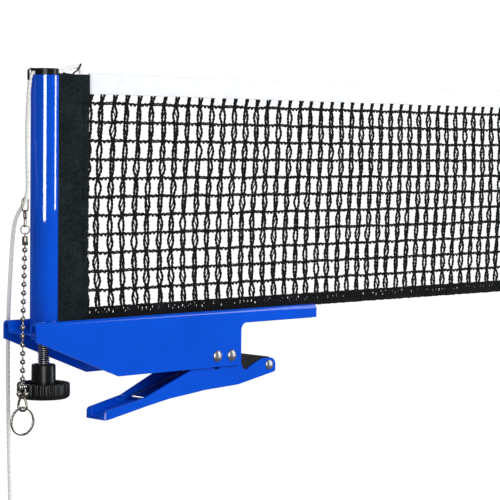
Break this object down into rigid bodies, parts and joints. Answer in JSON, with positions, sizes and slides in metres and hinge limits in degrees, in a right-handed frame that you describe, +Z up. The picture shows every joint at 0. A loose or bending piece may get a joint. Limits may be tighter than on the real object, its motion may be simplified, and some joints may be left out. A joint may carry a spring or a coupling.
{
  "type": "table tennis net clamp",
  "caption": "Sprung clip clamp for a table tennis table's edge, with a slotted post, a height screw, the end of its net, a tension cord and a ball chain.",
  "frame": {"origin": "on the upper jaw's rubber face, mid-width, in the plane of the wall that meets the table's edge; the playing surface is Z = 0", "axes": "+X from the table's edge over the table, +Y across the clamp, +Z up"},
  "size_m": [0.4635, 0.0365, 0.2744],
  "materials": {
    "blue_paint": "gloss",
    "black_rubber": "matt",
    "gloss_black": "gloss",
    "zinc_steel": "satin",
    "spring_steel": "satin",
    "white_nylon": "satin",
    "white_cord": "matt",
    "nickel_wire": "bright",
    "nickel_balls": "bright",
    "ring_steel": "bright",
    "rod_aluminium": "satin",
    "black_weave": "matt",
    "white_tape": "matt",
    "net_yarn": "matt",
    "bright_screw": "bright",
    "knob_black": "satin",
    "insert_brass": "satin"
  },
  "bodies": {
    "bracket": {"clamp_bracket": "blue_paint", "upper_jaw_arm": "blue_paint", "upper_jaw_pad": "black_rubber", "post_tube": "blue_paint", "post_cap": "gloss_black", "tube_nut": "zinc_steel", "pivot_rivet": "zinc_steel", "stop_rivet": "zinc_steel", "pivot_washers": "white_nylon", "tension_cord": "white_cord", "cord_knot": "white_cord", "cord_hook": "nickel_wire"},
    "lever": {"clamp_lever": "blue_paint", "jaw_rivet": "zinc_steel", "jaw_pad": "black_rubber", "pivot_sleeve": "white_nylon", "torsion_spring": "spring_steel"},
    "net": {"net_rod": "rod_aluminium", "lift_socket": "white_nylon", "net_sleeve": "black_weave", "net_tape": "white_tape", "net_mesh": "net_yarn", "net_bottom_band": "net_yarn", "net_end_hem": "black_weave", "net_end_rod": "white_nylon"},
    "height_screw": {"adjust_screw": "bright_screw", "height_knob": "knob_black", "knob_insert": "insert_brass"},
    "chain_upper_run": {"swivel_link": "nickel_wire", "jump_ring": "nickel_wire", "chain_connector": "nickel_wire", "chain_upper": "nickel_balls"},
    "chain_lower_run": {"chain_lower": "nickel_balls", "chain_fold": "nickel_balls", "chain_clasp": "nickel_wire"},
    "ring": {"key_ring": "ring_steel"}
  },
  "joints": [
    {"name": "lever_turn", "type": "hinge", "parent": "bracket", "child": "lever", "pos_m": [-0.0084, 0, -0.0194], "axis": [0, 1, 0], "range_deg": [0, 25], "stiffness_Nm_per_rad": 3, "springref_deg": -34.38, "deforming": ["torsion_spring"]},
    {"name": "net_lift", "type": "slide", "parent": "bracket", "child": "net", "axis": [0, 0, 1], "range_m": [-0.003, 0.008], "deforming": ["tension_cord"]},
    {"name": "screw_turn", "type": "hinge", "parent": "net", "child": "height_screw", "pos_m": [-0.1444, 0, 0], "axis": [0, 0, 1], "range_deg": [-865, 2305]},
    {"name": "chain_swing", "type": "hinge", "parent": "bracket", "child": "chain_upper_run", "pos_m": [-0.1585, -0.0003, 0.0719], "axis": [-1, 0, 0], "range_deg": [0, 75]},
    {"name": "chain_bend", "type": "hinge", "parent": "chain_upper_run", "child": "chain_lower_run", "pos_m": [-0.1639, -0.0055, 0.006], "axis": [-1, 0, 0], "range_deg": [0, 75]},
    {"name": "ring_swing", "type": "hinge", "parent": "chain_lower_run", "child": "ring", "pos_m": [-0.1639, -0.0055, -0.04145], "axis": [-0.3584, 0.9336, 0], "range_deg": [-25, 40]}
  ],
  "couplings": [
    {"joint": "screw_turn", "follows": "net_lift", "rad_per_m": 5026.5}
  ]
}
